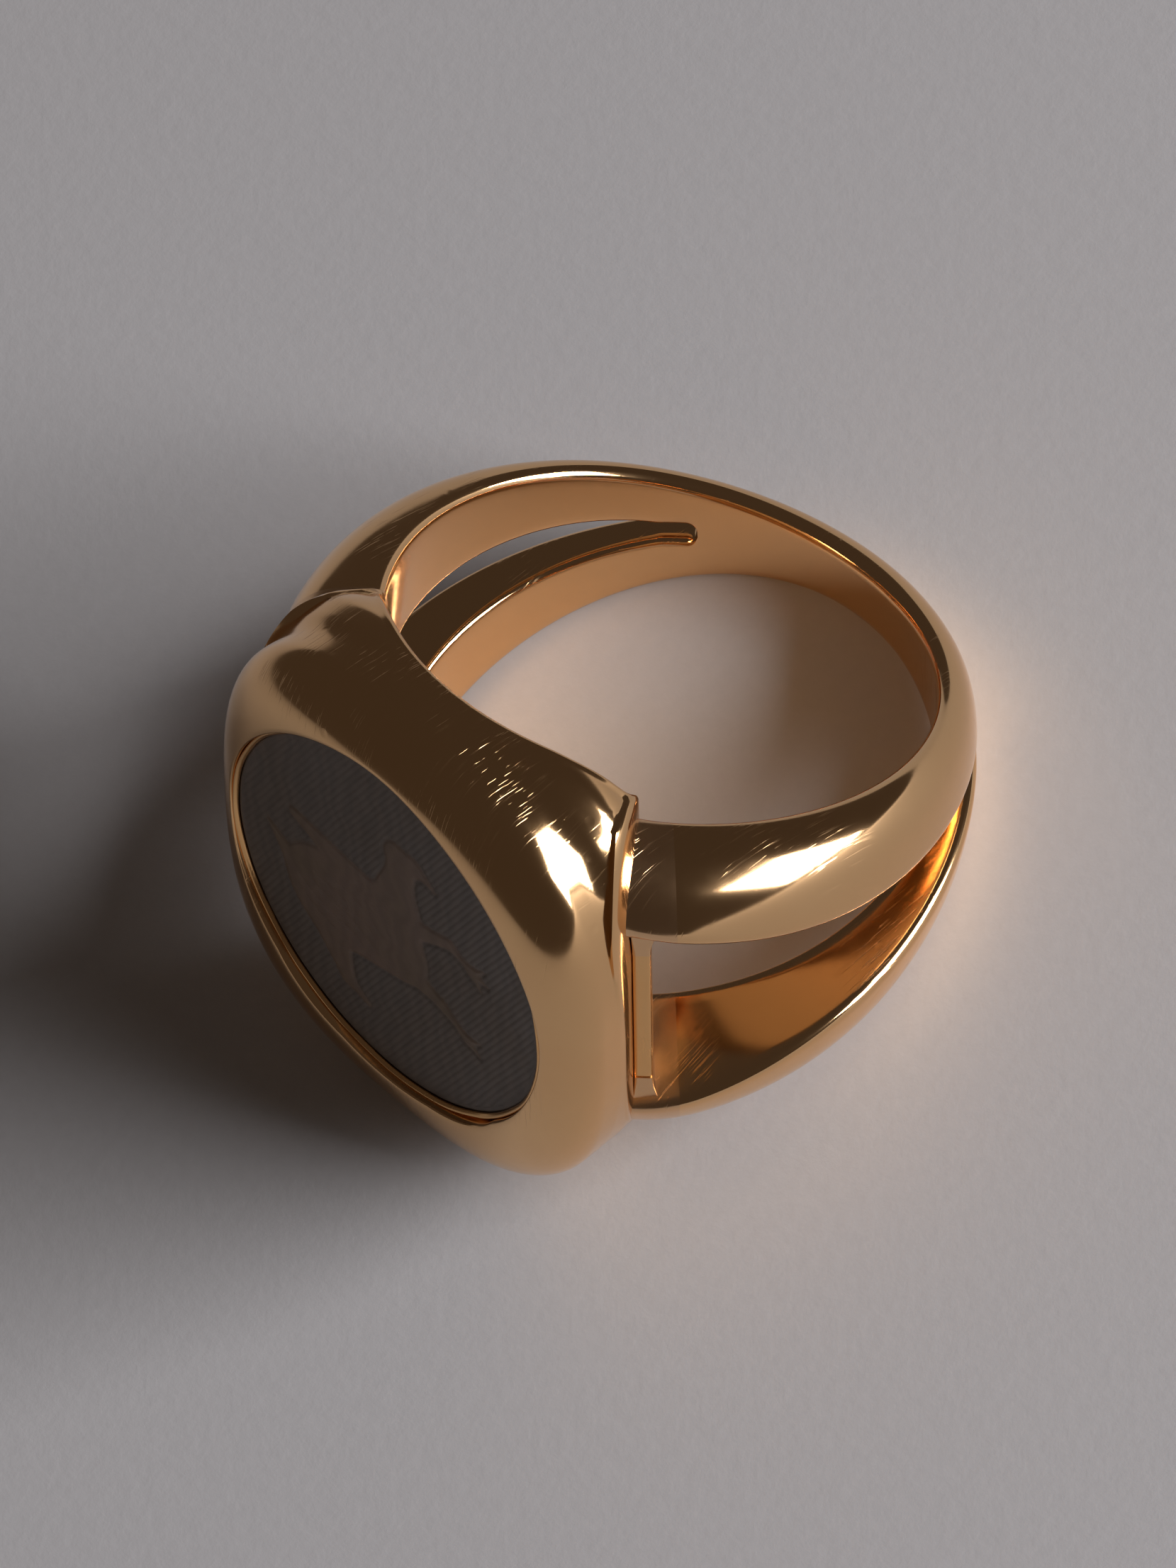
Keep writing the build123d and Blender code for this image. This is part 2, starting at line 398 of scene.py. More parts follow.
def cushion(turn, inset, reach=head_reach):
    """The block's outline; its upper corners are squarer behind the shoulder than in front."""
    c, s = math.cos(turn), math.sin(turn)
    behind = min(max((corner_from - reach) / corner_run, 0), 1)
    behind = behind * behind * (3 - 2 * behind)
    power = 2 / (head_squareness + behind * (corner_bulge_top if s > 0 else corner_bulge_low))
    x = (head_width / 2 - inset) * math.copysign(abs(c) ** power, c)
    z = (head_height / 2 - inset) * math.copysign(abs(s) ** power, s)
    return x, z


# the wall's draw-in behind the shoulder, in mm, at distances from the middle of the finger
wall_reaches = [5.5, 6.0, 6.75, 7.4, 8.15, 9.0, 9.8, 10.5]
wall_draw_ins = [2.1, 1.65, 1.1, 0.68, 0.35, 0.13, 0.03, 0]


def back_inset(reach):
    """How far the wall draws in behind the head's shoulder."""
    return float(np.interp(reach, wall_reaches, wall_draw_ins))


flat_blend = 0.12


def back_reach(x):
    """Where the block ends behind: on the finger hole, or on the flats the arms are soldered to."""
    x = abs(x)
    on_hole = math.sqrt(max(finger_radius ** 2 - x * x, 0.01))
    on_flat = x / math.tan(joint_angle)
    blend = 1 / (1 + math.exp((x - finger_radius * math.sin(joint_angle)) / flat_blend))
    return on_hole * blend + on_flat * (1 - blend)


# the roll of the back edge, what the upper corners add to it, and where they do, in mm
back_edge_roll, corner_roll = 0.26, 0.5
roll_from_x, roll_run_x, roll_run_z = 4.6, 2.0, 5.0


def back_roll(x, z):
    """The block's back edge is rolled soft, and fully rounded at the two upper corners."""
    corner = min(max((abs(x) - roll_from_x) / roll_run_x, 0), 1) * min(max(z / roll_run_z, 0), 1)
    return back_edge_roll + corner_roll * corner * corner * (3 - 2 * corner)


columns = 256
rows_wall, rows_dome, rows_back, rows_roll = 22, 26, 22, 6
head_points, head_faces = [], []


def head_ring(points):
    first = len(head_points)
    head_points.extend(laid_down(x, -reach, z) for x, reach, z in points)
    return list(range(first, len(head_points)))


# the back rim's reach depends on its inset and its roll, and they on it, so it is found by turns
settle_rounds, halvings = 12, 30
turns = [2 * math.pi * i / columns for i in range(columns)]
rear_rim, rolls = [], []
for turn in turns:
    reach, roll = 8.0, 0.3
    for _ in range(settle_rounds):
        x, z = cushion(turn, back_inset(reach + roll), reach)
        reach, roll = back_reach(x), back_roll(x, z)
    rear_rim.append(reach)
    rolls.append(roll)

head_rings = []
# rolled edge behind, then the wall, then the pillow up to the seat
for r in range(rows_roll + 1):
    lift = math.pi / 2 * r / rows_roll
    ring = []
    for turn, reach, roll in zip(turns, rear_rim, rolls):
        inset = back_inset(reach + roll) + roll * (1 - math.sin(lift))
        x, z = cushion(turn, inset, reach)
        ring.append((x, back_reach(x) + roll * (1 - math.cos(lift)), z))
    head_rings.append(head_ring(ring))
wall_from = [back_reach(cushion(turn, back_inset(reach + roll), reach)[0]) + roll
             for turn, reach, roll in zip(turns, rear_rim, rolls)]
for r in range(1, rows_wall + 1):
    share = r / rows_wall
    ring = []
    for turn, start in zip(turns, wall_from):
        reach = start + (head_shoulder_reach - start) * share
        x, z = cushion(turn, back_inset(reach), reach)
        ring.append((x, reach, z))
    head_rings.append(head_ring(ring))


def pillow(turn, slope):
    """A point of the pillowed face: a slope of 0 is at the shoulder, a right angle is level."""
    reach = head_shoulder_reach + (head_reach - head_shoulder_reach) * math.sin(slope)
    x, z = cushion(turn, dome_inset * (1 - math.cos(slope)))
    return x, reach, z


lip_roll = 0.05
seat_slopes = []
for turn in turns:
    low, high = 0.0, math.pi / 2
    for _ in range(halvings):
        middle = (low + high) / 2
        x, reach, z = pillow(turn, middle)
        if math.hypot(x, z - disc_height) > seat_radius + lip_roll:
            low = middle
        else:
            high = middle
    seat_slopes.append(low)
for r in range(1, rows_dome + 1):
    share = r / rows_dome
    head_rings.append(head_ring([pillow(turn, slope * share)
                                 for turn, slope in zip(turns, seat_slopes)]))
# the seat's burnished lip, its wall and its floor
lip = [pillow(turn, slope) for turn, slope in zip(turns, seat_slopes)]
for pull, drop in ((0.03, 0.012), (lip_roll, lip_roll)):
    ring = []
    for x, reach, z in lip:
        far = math.hypot(x, z - disc_height)
        scale = (far - pull) / far
        ring.append((x * scale, reach - drop, disc_height + (z - disc_height) * scale))
    head_rings.append(head_ring(ring))
for reach in (disc_reach - 0.5, seat_floor_reach):
    ring = []
    for x, _, z in lip:
        turn = math.atan2(z - disc_height, x)
        ring.append((seat_radius * math.cos(turn), reach,
                     disc_height + seat_radius * math.sin(turn)))
    head_rings.append(head_ring(ring))
head_faces.append(tuple(head_rings[-1]))
for ring_a, ring_b in zip(head_rings, head_rings[1:]):
    join_loops(head_faces, ring_a, ring_b)

# the bored back, as upright strips from the lower rim to the upper one
rim = head_rings[0]
half = columns // 2
strips = [[rim[0]]]
for i in range(1, half):
    top_id, low_id = rim[i], rim[columns - i]
    ends = []
    for at in (columns - i, i):
        inset = back_inset(rear_rim[at] + rolls[at]) + rolls[at]
        ends.append(cushion(turns[at], inset, rear_rim[at]))
    strip = [low_id]
    first = len(head_points)
    for r in range(1, rows_back):
        share = r / rows_back
        x = ends[0][0] + (ends[1][0] - ends[0][0]) * share
        z = ends[0][1] + (ends[1][1] - ends[0][1]) * share
        head_points.append(laid_down(x, -back_reach(x), z))
    strip += list(range(first, len(head_points))) + [top_id]
    strips.append(strip)
strips.append([rim[half]])
for a, b in zip(strips, strips[1:]):
    for r in range(rows_back):
        quad = [a[min(r, len(a) - 1)], a[min(r + 1, len(a) - 1)],
                b[min(r + 1, len(b) - 1)], b[min(r, len(b) - 1)]]
        quad = list(dict.fromkeys(quad))
        if len(quad) > 2:
            head_faces.append(tuple(quad))

head = make_piece("cushion_head", head_points, head_faces, head_gold, 50)
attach(head, "root")
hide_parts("head")

# ---------------------------------------------------------------- shoulder solder
# Gold solder run round each of the four arm ends and filed to a hollow, so each arm grows out of
# the head in a small concave neck. Slightly paler and duller than the cast gold.
solder_gold = polished_gold("gold_solder_filed_and_buffed", "#ECC498", "#DDB082", 0.13, 0.000009)
# each neck starts inside the head and runs 2 mm along its arm, 11 mm from the finger's middle
neck_reach, neck_height, neck_arc_radius = 2.0, 0.85, 11.0
neck_root, neck_steps = joint_angle - math.radians(3.4), 14
solder_skin, bore_fade, edge_margin = 0.004, 0.35, 0.12
neck_points, neck_faces = [], []


def add_tube(points, faces, loops):
    """A closed skin through loops of points, with a cap at each end."""
    before = None
    for loop in loops:
        ids = list(range(len(points), len(points) + len(loop)))
        points.extend(loop)
        if before:
            join_loops(faces, before, ids)
        else:
            faces.append(tuple(ids))
        before = ids
    faces.append(tuple(before))


def inside_head(out, height):
    """How deep a point of the joint face lies inside the head's outline, in mm."""
    x, reach = out * math.sin(joint_angle), out * math.cos(joint_angle)
    inset = back_inset(reach)
    power = head_squareness + (corner_bulge_top if height > 0 else corner_bulge_low)
    q = (x / (head_width / 2 - inset)) ** power + (abs(height) / (head_height / 2 - inset)) ** power
    return (1 - q ** (1 / power)) * math.hypot(x, height)


for side in (1, -1):
    for up in (1, -1):
        loops = []
        for step in range(neck_steps + 1):
            share = step / neck_steps
            swell = neck_height * (1 - math.sqrt(max(1 - (1 - share) ** 2, 0))) + solder_skin
            angle = neck_root + share * neck_reach / neck_arc_radius
            line = np.array(arm_outline(angle))
            centre = np.mean(line, axis=0)
            tangent = np.roll(line, -1, axis=0) - np.roll(line, 1, axis=0)
            tangent /= np.maximum(np.hypot(tangent[:, 0], tangent[:, 1]), 1e-9)[:, None]
            outward = np.stack([tangent[:, 1], -tangent[:, 0]], axis=1)
            if np.sum(outward * (line - centre)) < 0:
                outward = -outward
            # none in the finger hole, and none that would show past the head's outline
            keep_bore = np.clip((line[:, 0] - finger_radius) / bore_fade, 0, 1)
            room = np.array([max(inside_head(o, up * h) - edge_margin, 0) for o, h in line])
            lift = np.minimum(swell, room * swell / neck_height) * keep_bore
            line = line + outward * np.maximum(lift, solder_skin)[:, None]
            loops.append([round_the_finger(side * angle, o, up * h) for o, h in line])
        add_tube(neck_points, neck_faces, loops)
necks = make_piece("shoulder_necks", neck_points, neck_faces, solder_gold, 60)
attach(necks, "root")
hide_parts("shoulder_solder")

# ---------------------------------------------------------------- gallery bars
# A flat strip of gold stands across each slot just behind the head and ties the two arms together.
# It is cut from sheet, its long edges are stoned round, and each end has a hollow fillet of solder.
bar_width, bar_depth, bar_roll, bar_corner_points = 0.60, 1.10, 0.13, 4
bar_half_length, bar_bow, bar_steps = slot_outer(joint_angle) + 0.55, 0.05, 40
bar_outside = 11.75
bar_gold = polished_gold("yellow_gold_18ct_sheet_stoned", "#F4C48A", "#E9B476", 0.12, 0.000006)


def bar_section(grow):
    """The strip's rounded section: outwards from the finger, and back from the head."""
    depth, width = bar_depth / 2 + grow, bar_width + grow
    corners = [(depth, 0), (depth, width), (-depth, width), (-depth, 0)]
    loop = []
    for i, corner in enumerate(corners):
        before, after = corners[i - 1], corners[(i + 1) % 4]
        start = Vector(corner).lerp(Vector(before), bar_roll / math.dist(before, corner))
        end = Vector(corner).lerp(Vector(after), bar_roll / math.dist(after, corner))
        rolled = rolled_corner(start, corner, end, bar_corner_points)
        loop += [tuple(start)] + rolled + [tuple(end)]
    return loop


for side, node in ((1, "gallery_bar_right"), (-1, "gallery_bar_left")):
    bar_points, bar_faces, loops = [], [], []
    for step in range(bar_steps + 1):
        height = -bar_half_length + 2 * bar_half_length * step / bar_steps
        bow = bar_bow * (1 - (height / bar_half_length) ** 2)
        loop = []
        for out, back in bar_section(0.0):
            outward = bar_outside - bar_depth / 2 + out - bow
            angle = side * (joint_angle + back / bar_outside)
            loop.append(round_the_finger(angle, outward, height))
        loops.append(loop)
    add_tube(bar_points, bar_faces, loops)
    bar_name = node.replace("gallery_bar", "gallery_strip")
    bar = make_piece(bar_name, bar_points, bar_faces, bar_gold, 60)
    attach(bar, "root")
    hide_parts(node)

# each fillet hugs the strip where it starts and swells out in a hollow curve as it meets the arm
fillet_points, fillet_faces = [], []
fillet_length, fillet_spread, fillet_skin, fillet_proud, fillet_steps = 1.75, 0.62, 0.015, 0.02, 12
for side in (1, -1):
    for up in (1, -1):
        loops = []
        for step in range(fillet_steps + 1):
            share = step / fillet_steps
            height = bar_half_length - fillet_length * (1 - share)
            grow = fillet_length * fillet_spread * (1 - math.sqrt(max(1 - share ** 2, 0)))
            loop = []
            for out, back in bar_section(fillet_skin + grow):
                outward = min(bar_outside - bar_depth / 2 + out, bar_outside + fillet_proud)
                angle = side * (joint_angle + back / bar_outside)
                loop.append(round_the_finger(angle, outward, up * height))
            loops.append(loop)
        add_tube(fillet_points, fillet_faces, loops)
fillets = make_piece("bar_fillets", fillet_points, fillet_faces, solder_gold, 60)
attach(fillets, "root")
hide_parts("bar_solder")

# ---------------------------------------------------------------- bezel collar
# A thin strip of gold bent into a ring, set in the seat round the disc and burnished over the
# disc's edge, so it is a narrow bright line between the head and the dark shell.
collar_points, collar_faces = [], []
collar_section = [(7.20, disc_reach - 0.6), (7.20, disc_reach + 0.11), (7.17, disc_reach + 0.15),
                  (7.13, disc_reach + 0.16), (7.06, disc_reach + 0.12), (7.02, disc_reach + 0.05),
                  (7.02, disc_reach + 0.005), (7.05, disc_reach - 0.02), (7.05, disc_reach - 0.6)]
around = 360
collar_loops = []
for i in range(around):
    turn = 2 * math.pi * i / around
    # hand burnishing leaves the lip a few hundredths of a millimetre uneven
    waver = 0.012 * math.sin(7 * turn + 1) + 0.008 * math.sin(17 * turn)
    for radius, reach in collar_section:
        radius_here = radius - (waver if reach > disc_reach else 0)
        collar_points.append(laid_down(radius_here * math.cos(turn), -reach,
                                       disc_height + radius_here * math.sin(turn)))
    collar_loops.append(range(len(collar_points) - len(collar_section), len(collar_points)))
for loop_a, loop_b in zip(collar_loops, collar_loops[1:] + collar_loops[:1]):
    join_loops(collar_faces, loop_a, loop_b)
collar = make_piece("burnished_collar", collar_points, collar_faces, bar_gold, 60)
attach(collar, "root")
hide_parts("bezel_collar")

# ---------------------------------------------------------------- cement under the disc
# A thin bed of two-part cement holds the disc down. It shows only if the disc is lifted out.
cement, tree = new_material("two_part_cement_set")
place = add_node(tree, "ShaderNodeTexCoord").outputs["Object"]
# a chalky filler, so it is dull, with grains about 0.3 mm apart
grain = add_node(tree, "ShaderNodeTexNoise", {"Scale": 3000.0, "Detail": 3.0}, {"Vector": place})
tone = add_node(tree, "ShaderNodeMix", {"A": linear("#D2C9B4"), "B": linear("#BDB39C")},
                {"Factor": grain.outputs["Fac"]}, data_type="RGBA")
bump = add_node(tree, "ShaderNodeBump", {"Distance": 0.00001}, {"Height": grain.outputs["Fac"]})
shader = add_node(tree, "ShaderNodeBsdfPrincipled", {"Roughness": 0.7},
                  {"Base Color": tone.outputs["Result"], "Normal": bump.outputs["Normal"]})
add_node(tree, "ShaderNodeOutputMaterial", links={"Surface": shader.outputs["BSDF"]})
for slot in frame["nodes"]["cement_bed"].material_slots:
    slot.material = cement

# ---------------------------------------------------------------- inlay disc
# A flat disc of smoky mother-of-pearl, 0.85 mm thick, engraved by hand: a plain long-necked beast
# is left standing and the ground round it is ruled with fine slanting lines. It sits in the collar.
disc_back_reach, disc_edge_break, disc_chamfer = 11.03, 0.08, 0.02
pearl, tree = new_material("smoky_mother_of_pearl_engraved")
# shell polished flat and then cut with a graver: satin, with soft clouds of colour 2 to 4 mm wide
# and wandering growth lines under a millimetre apart that only just show
place = add_node(tree, "ShaderNodeTexCoord").outputs["Object"]
clouds = add_node(tree, "ShaderNodeTexNoise", {"Scale": 260.0, "Detail": 3.0, "Distortion": 0.6},
                  {"Vector": place})
layers = add_node(tree, "ShaderNodeTexWave",
                  {"Scale": 420.0, "Distortion": 9.0, "Detail": 3.0, "Detail Scale": 1.6},
                  {"Vector": place}, wave_type="BANDS")
figure = add_node(tree, "ShaderNodeAttribute", attribute_name="figure")
ground_tone = add_node(tree, "ShaderNodeMix", {"A": linear("#665A50"), "B": linear("#786858")},
                       {"Factor": clouds.outputs["Fac"]}, data_type="RGBA")
figure_tone = add_node(tree, "ShaderNodeMix", {"A": linear("#8B6A58"), "B": linear("#79694B")},
                       {"Factor": clouds.outputs["Fac"]}, data_type="RGBA")
tone = add_node(tree, "ShaderNodeMix",
                links={"Factor": figure.outputs["Fac"], "A": ground_tone.outputs["Result"],
                       "B": figure_tone.outputs["Result"]}, data_type="RGBA")
grain = add_node(tree, "ShaderNodeMix", {"Factor": 0.12},
                 {"A": tone.outputs["Result"], "B": layers.outputs["Color"]},
                 data_type="RGBA", blend_type="SOFT_LIGHT")
rough = add_node(tree, "ShaderNodeMapRange",
                 {"From Min": 0.3, "From Max": 0.7, "To Min": 0.38, "To Max": 0.55},
                 {"Value": clouds.outputs["Fac"]})
bump = add_node(tree, "ShaderNodeBump", {"Strength": 0.6, "Distance": 0.000004},
                {"Height": layers.outputs["Fac"]})
shader = add_node(tree, "ShaderNodeBsdfPrincipled", {"IOR": 1.53},
                  {"Base Color": grain.outputs["Result"], "Roughness": rough.outputs["Result"],
                   "Normal": bump.outputs["Normal"]})
add_node(tree, "ShaderNodeOutputMaterial", links={"Surface": shader.outputs["BSDF"]})

# the plate is drawn upright with its columns along the ruled lines, then engraved, then laid down
line_slope = math.radians(58)
line_pitch, line_depth = 0.21, 0.015
# the columns are evenly spaced but for the last sixteen degrees at each side, where they close up
plate_radius = disc_radius - disc_edge_break
side_from, plate_columns, plate_rows, short_chord = 74, 330, 150, 3
across = [plate_radius * math.sin(math.radians(a)) for a in range(-90, 1 - side_from, 2)]
limit = plate_radius * math.sin(math.radians(side_from))
across += [-limit + 2 * limit * i / plate_columns for i in range(1, plate_columns)]
across += [plate_radius * math.sin(math.radians(a)) for a in range(side_from, 91, 2)]
disc_points, disc_faces = [], []
for u in across:
    chord = math.sqrt(max(plate_radius ** 2 - u * u, 0.0))
    for r in range(plate_rows + 1):
        share = 2 * r / plate_rows - 1
        v = chord * (math.sin(math.pi / 2 * share) if chord < short_chord else share)
        x = u * math.sin(line_slope) + v * math.cos(line_slope)
        z = -u * math.cos(line_slope) + v * math.sin(line_slope)
        disc_points.append((x, -disc_reach, z))
wide = plate_rows + 1
for c in range(len(across) - 1):
    for r in range(plate_rows):
        a = c * wide + r
        disc_faces.append((a, a + wide, a + wide + 1, a + 1))
edge = [c * wide for c in range(len(across))]
edge += [first + plate_rows for first in reversed(edge)]
before = edge
for radius, reach in ((disc_radius - disc_chamfer, disc_reach - disc_chamfer),
                      (disc_radius, disc_reach - disc_edge_break), (disc_radius, disc_back_reach)):
    ring = []
    for i in edge:
        x, _, z = disc_points[i]
        far = math.hypot(x, z)
        ring.append((x * radius / far, -reach, z * radius / far))
    ids = list(range(len(disc_points), len(disc_points) + len(ring)))
    disc_points += ring
    join_loops(disc_faces, before, ids)
    before = ids
disc_faces.append(tuple(before))

# the beast, as tapering strokes in millimetres from the disc's middle: where each starts and ends
# and its half width at both
strokes = [
    # body, breast, neck, head and beak
    (-2.9, -1.1, 0.1, -0.7, 2.0, 1.7), (0.0, -0.4, 0.5, 1.5, 1.6, 1.0),
    (0.4, 1.3, 0.7, 3.2, 0.95, 0.62), (0.6, 3.6, 1.2, 3.75, 0.7, 0.46),
    (1.5, 3.8, 2.3, 3.35, 0.3, 0.05),
    # wing and tail
    (-0.9, 0.7, -4.4, 1.7, 0.75, 0.25), (-4.3, -1.0, -5.6, 0.3, 0.55, 0.12),
    # the upper foreleg and its three claws
    (0.9, 0.7, 2.9, 1.4, 0.5, 0.22), (2.9, 1.4, 3.9, 0.95, 0.2, 0.15),
    (3.9, 0.95, 4.5, 1.4, 0.13, 0.04), (3.9, 0.95, 4.65, 0.8, 0.13, 0.04),
    (3.9, 0.95, 4.3, 0.35, 0.13, 0.04),
    # the lower foreleg and its two claws
    (0.6, -1.4, 2.5, -1.9, 0.6, 0.25), (2.5, -1.9, 3.6, -2.6, 0.24, 0.15),
    (3.6, -2.6, 4.2, -2.35, 0.13, 0.04), (3.6, -2.6, 4.2, -3.0, 0.13, 0.04),
    # the hind leg and its foot
    (-3.0, -2.2, -2.1, -4.3, 1.1, 0.4), (-2.1, -4.4, -1.1, -4.9, 0.3, 0.12),
]
# the strokes melt into each other; the higher the number, the less
stroke_keenness = 9
rim_margin, figure_edge, outline_width = 0.12, 0.12, 0.07
at = np.array(disc_points)
at_x, at_z = at[:, 0], at[:, 2]
nearest = np.zeros(len(at))
for x0, z0, x1, z1, r0, r1 in strokes:
    run_x, run_z = x1 - x0, z1 - z0
    along = ((at_x - x0) * run_x + (at_z - z0) * run_z) / (run_x ** 2 + run_z ** 2)
    along = np.clip(along, 0, 1)
    gap = np.hypot(at_x - x0 - along * run_x, at_z - z0 - along * run_z) - (r0 + along * (r1 - r0))
    nearest += np.exp(-stroke_keenness * np.clip(gap, -2, 9))
outside_by = -np.log(np.maximum(nearest, 1e-12)) / stroke_keenness
on_face = (at[:, 1] < -disc_reach + 0.001) & (np.hypot(at_x, at_z) < plate_radius - rim_margin)
figure_share = np.clip(0.5 - outside_by / figure_edge, 0, 1)
outline_share = np.exp(-(outside_by / outline_width) ** 2) * on_face
# wavy feather cuts about 0.5 mm apart on the wing and the haunch, well inside the outline
feather_wave = np.sin(5.2 * (at_x * 0.5 + at_z) + 1.5 * np.sin(at_x * 1.3))
feather_share = np.exp(-(feather_wave / 0.3) ** 2)
feather_share *= np.clip((-outside_by - 0.35) / 0.3, 0, 1) * (at_x < 0.4) * on_face
in_metres = [(x / 1000, y / 1000, z / 1000) for x, y, z in disc_points]
disc_plate = make_piece("engraved_disc", in_metres, disc_faces, pearl, 40)
# make_piece joins points that coincide, so each share is matched to its point by place
order = np.array([v.co[:] for v in disc_plate.data.vertices]) * 1000
lookup = {tuple(np.round(point, 3)): i for i, point in enumerate(at)}
where = [lookup.get(tuple(np.round(point, 3)), 0) for point in order]
shares = {"figure": figure_share, "outline": outline_share, "feathers": feather_share,
          "ground": (1 - figure_share) * on_face}
for name, values in shares.items():
    share_data = disc_plate.data.attributes.new(name, "FLOAT", "POINT").data
    share_data.foreach_set("value", values[where].astype(np.float32))

# the graver's cuts push the face in: ruled lines on the ground, a deeper one round the beast and
# shallow ones for the feathers
engrave = bpy.data.node_groups.new("graver_cuts", "GeometryNodeTree")
engrave.interface.new_socket("Geometry", in_out="INPUT", socket_type="NodeSocketGeometry")
sizes = {"Line Pitch": line_pitch / 1000, "Line Depth": line_depth / 1000, "Line Slope": line_slope,
         "Outline Depth": 0.045 / 1000, "Feather Depth": 0.012 / 1000}
sockets = {name: engrave.interface.new_socket(name, in_out="INPUT", socket_type="NodeSocketFloat")
           for name in sizes}
engrave.interface.new_socket("Geometry", in_out="OUTPUT", socket_type="NodeSocketGeometry")
given = add_node(engrave, "NodeGroupInput").outputs
position = add_node(engrave, "GeometryNodeInputPosition").outputs[0]
spot = add_node(engrave, "ShaderNodeSeparateXYZ", links={"Vector": position})
sine = add_node(engrave, "ShaderNodeMath", links={0: given["Line Slope"]},
                operation="SINE").outputs[0]
cosine = add_node(engrave, "ShaderNodeMath", links={0: given["Line Slope"]},
                  operation="COSINE").outputs[0]
along_x = add_node(engrave, "ShaderNodeMath", links={0: spot.outputs["X"], 1: sine},
                   operation="MULTIPLY").outputs[0]
along_z = add_node(engrave, "ShaderNodeMath", links={0: spot.outputs["Z"], 1: cosine},
                   operation="MULTIPLY").outputs[0]
across_lines = add_node(engrave, "ShaderNodeMath", links={0: along_x, 1: along_z},
                        operation="SUBTRACT").outputs[0]
# a hand-ruled line wanders by up to a tenth of a millimetre along its length
wander = add_node(engrave, "ShaderNodeTexNoise", {"Scale": 420.0, "Detail": 1.0},
                  noise_dimensions="3D").outputs["Fac"]
shift = add_node(engrave, "ShaderNodeMath", {1: 0.00009}, {0: wander, 2: across_lines},
                 operation="MULTIPLY_ADD").outputs[0]
turns_in = add_node(engrave, "ShaderNodeMath", links={0: shift, 1: given["Line Pitch"]},
                    operation="DIVIDE").outputs[0]
phase = add_node(engrave, "ShaderNodeMath", {1: 2 * math.pi}, {0: turns_in},
                 operation="MULTIPLY").outputs[0]
wave = add_node(engrave, "ShaderNodeMath", links={0: phase}, operation="SINE").outputs[0]
groove = add_node(engrave, "ShaderNodeMapRange", {"From Min": -0.2, "From Max": 1.0},
                  {"Value": wave}).outputs["Result"]
depths = []
for name, size, shape in (("ground", "Line Depth", groove), ("outline", "Outline Depth", None),
                          ("feathers", "Feather Depth", None)):
    share = add_node(engrave, "GeometryNodeInputNamedAttribute", {"Name": name},
                     data_type="FLOAT").outputs["Attribute"]
    depth = add_node(engrave, "ShaderNodeMath", links={0: share, 1: given[size]},
                     operation="MULTIPLY").outputs[0]
    if shape is not None:
        depth = add_node(engrave, "ShaderNodeMath", links={0: depth, 1: shape},
                         operation="MULTIPLY").outputs[0]
    depths.append(depth)
deep = add_node(engrave, "ShaderNodeMath", links={0: depths[0], 1: depths[1]},
                operation="ADD").outputs[0]
deep = add_node(engrave, "ShaderNodeMath", links={0: deep, 1: depths[2]},
                operation="ADD").outputs[0]
cut = add_node(engrave, "ShaderNodeCombineXYZ", links={"Y": deep}).outputs["Vector"]
cut_plate = add_node(engrave, "GeometryNodeSetPosition",
                     links={"Geometry": given["Geometry"], "Offset": cut})
real = add_node(engrave, "GeometryNodeRealizeInstances",
                links={"Geometry": cut_plate.outputs["Geometry"]})
dressed = add_node(engrave, "GeometryNodeSetMaterial", {"Material": pearl},
                   {"Geometry": real.outputs["Geometry"]})
add_node(engrave, "NodeGroupOutput", links={"Geometry": dressed.outputs["Geometry"]})
graver = disc_plate.modifiers.new("graver", "NODES")
graver.node_group = engrave
for name, value in sizes.items():
    graver[sockets[name].identifier] = value
evaluated = disc_plate.evaluated_get(bpy.context.evaluated_depsgraph_get())
engraved = bpy.data.meshes.new_from_object(evaluated)
disc_plate.modifiers.clear()
disc_plate.data = engraved
for vertex in engraved.vertices:
    x, y, z = (value * 1000 for value in vertex.co)
    vertex.co = laid_down(x, y, z + disc_height)
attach(disc_plate, "root")
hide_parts("inlay_disc")

# ---------------------------------------------------------------- floor, light and camera
# The ring lies on a sheet of plain pale paper, matt and finely fibred, which isn't part of it.
# A window lights it from one side, so it has one bright streak and a long soft shadow.
floor_material, tree = new_material("pale_matt_paper")
place = add_node(tree, "ShaderNodeTexCoord").outputs["Object"]
fibre = add_node(tree, "ShaderNodeTexNoise", {"Scale": 1800.0, "Detail": 5.0, "Roughness": 0.7},
                 {"Vector": place})
tone = add_node(tree, "ShaderNodeMix", {"A": linear("#B9B6B5"), "B": linear("#C3C0BF")},
                {"Factor": fibre.outputs["Fac"]}, data_type="RGBA")
bump = add_node(tree, "ShaderNodeBump", {"Strength": 0.3, "Distance": 0.00003},
                {"Height": fibre.outputs["Fac"]})
shader = add_node(tree, "ShaderNodeBsdfPrincipled", {"Roughness": 0.9, "Specular IOR Level": 0.2},
                  {"Base Color": tone.outputs["Result"], "Normal": bump.outputs["Normal"]})
add_node(tree, "ShaderNodeOutputMaterial", links={"Surface": shader.outputs["BSDF"]})
floor_mesh = bpy.data.meshes.new("floor")
floor_half = 0.6
floor_mesh.from_pydata([(-floor_half, -floor_half, 0), (floor_half, -floor_half, 0),
                        (floor_half, floor_half, 0), (-floor_half, floor_half, 0)],
                       [], [(0, 1, 2, 3)])
floor_mesh.materials.append(floor_material)
floor = bpy.data.objects.new("floor", floor_mesh)
bpy.context.scene.collection.objects.link(floor)

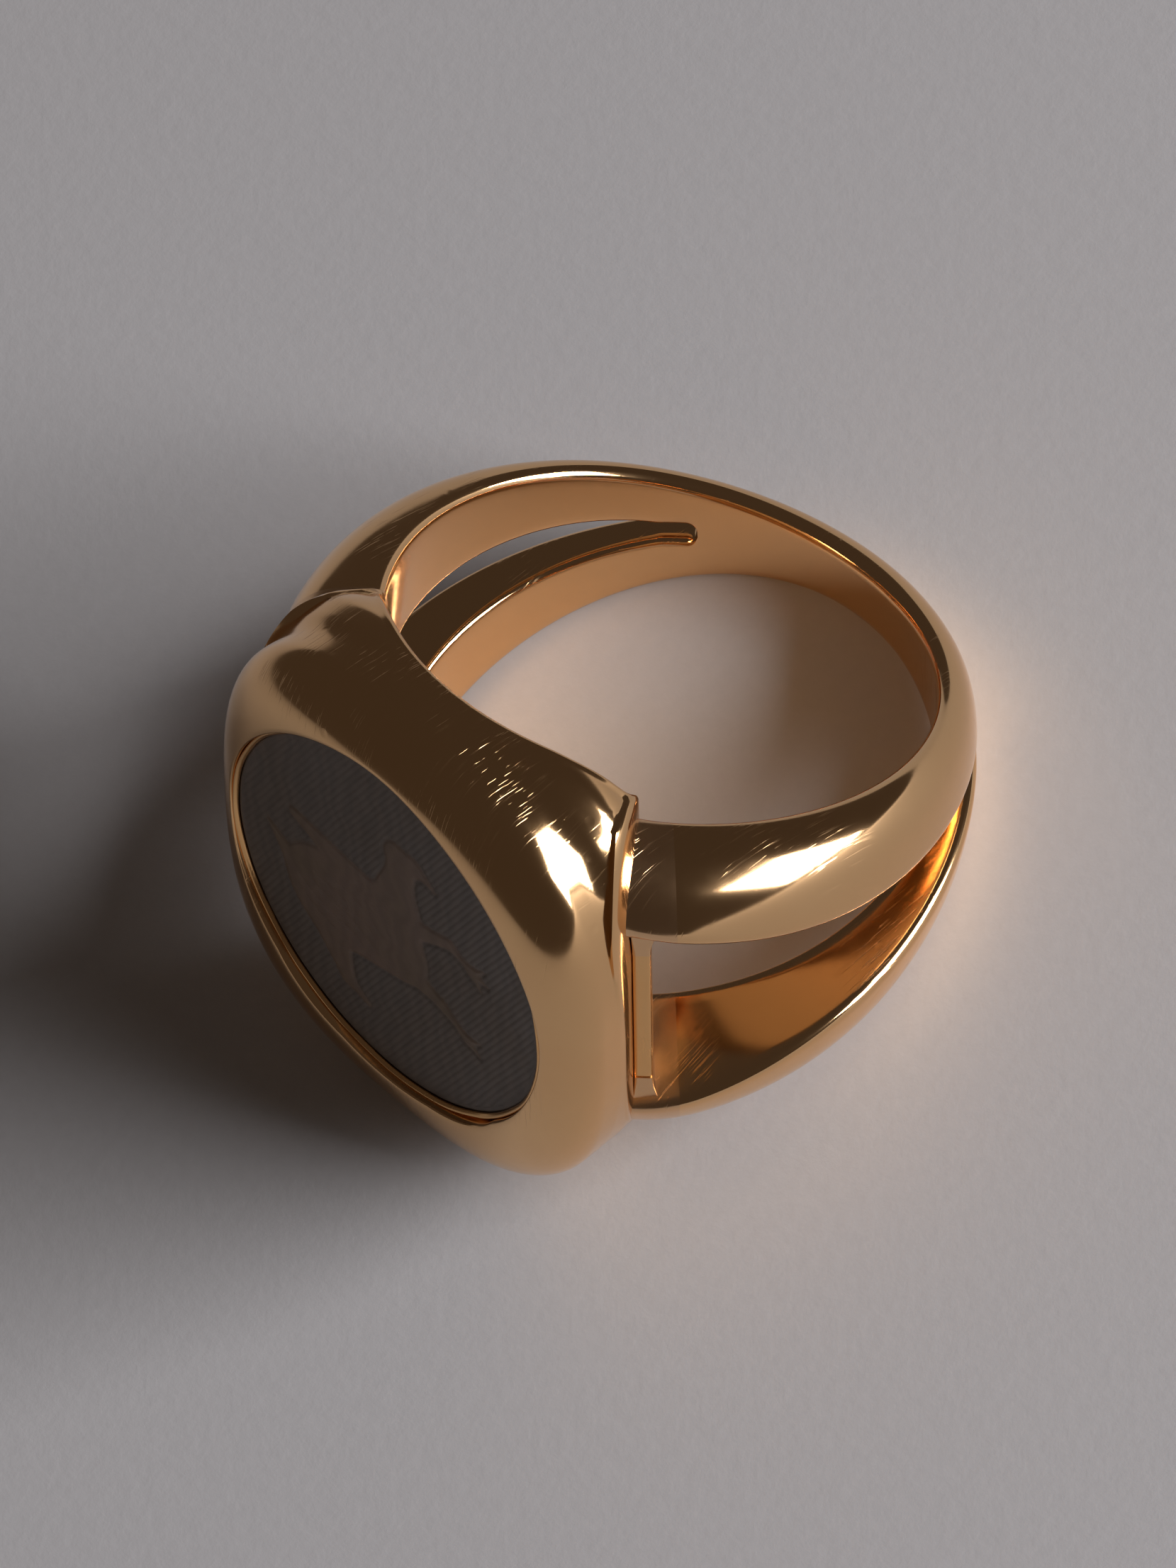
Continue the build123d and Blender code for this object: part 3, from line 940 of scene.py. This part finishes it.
# the room is dim and warm, so the polished gold shows brown between its highlights
world = bpy.data.worlds.new("room")
world.use_nodes = True
room_light = world.node_tree.nodes["Background"].inputs
room_light["Color"].default_value = linear("#867970")
room_light["Strength"].default_value = 0.21
bpy.context.scene.world = world


def direction(azimuth, height):
    """The way to something at an azimuth from the front, towards the right, and a height."""
    return Vector((math.sin(azimuth) * math.cos(height), -math.cos(azimuth) * math.cos(height),
                   math.sin(height)))


# one broad window, low on the right and behind, 0.9 m from the middle of the ring
light = bpy.data.lights.new("window", "AREA")
light.shape = "RECTANGLE"
light.size, light.size_y = 0.62, 0.42
light.energy = 17.8
light.color = linear("#F8F8FD")[:3]
lamp = bpy.data.objects.new("window", light)
towards = direction(math.radians(128), math.radians(17))
window_distance, ring_middle = 0.9, Vector((0, 0, 0.008))
lamp.location = towards * window_distance + ring_middle
lamp.rotation_euler = towards.to_track_quat("Z", "Y").to_euler()
bpy.context.scene.collection.objects.link(lamp)

# the camera looks down at the ring from the front right, a long way off through a long lens; its
# place is drawn round the upright finger hole in millimetres, like the ring, and laid down with it
view_azimuth, view_height = math.radians(48.062), math.radians(48.893)
view_roll = math.radians(-1.171)
view_distance, view_right, view_up = 420.0, -2.397, -1.526
back = direction(view_azimuth, view_height)
right = Vector((math.cos(view_azimuth), math.sin(view_azimuth), 0))
up = back.cross(right)
rolled_right = right * math.cos(view_roll) + up * math.sin(view_roll)
rolled_up = up * math.cos(view_roll) - right * math.sin(view_roll)
stand = back * view_distance + rolled_right * view_right + rolled_up * view_up
lying = Matrix.Rotation(-lean, 3, "X")
camera_data = bpy.data.cameras.new("camera")
camera_data.sensor_fit = "HORIZONTAL"
camera_data.sensor_width = 36.0
camera_data.lens = 402.2
camera_data.clip_start, camera_data.clip_end = 0.01, 10.0
camera = bpy.data.objects.new("camera", camera_data)
axes = [lying @ rolled_right, lying @ rolled_up, lying @ back]
turn = Matrix((axes[0], axes[1], axes[2])).transposed()
camera.matrix_world = Matrix.Translation(hole_middle + (lying @ stand) / 1000) @ turn.to_4x4()
bpy.context.scene.collection.objects.link(camera)
bpy.context.scene.camera = camera
bpy.context.scene.view_settings.view_transform = "Standard"
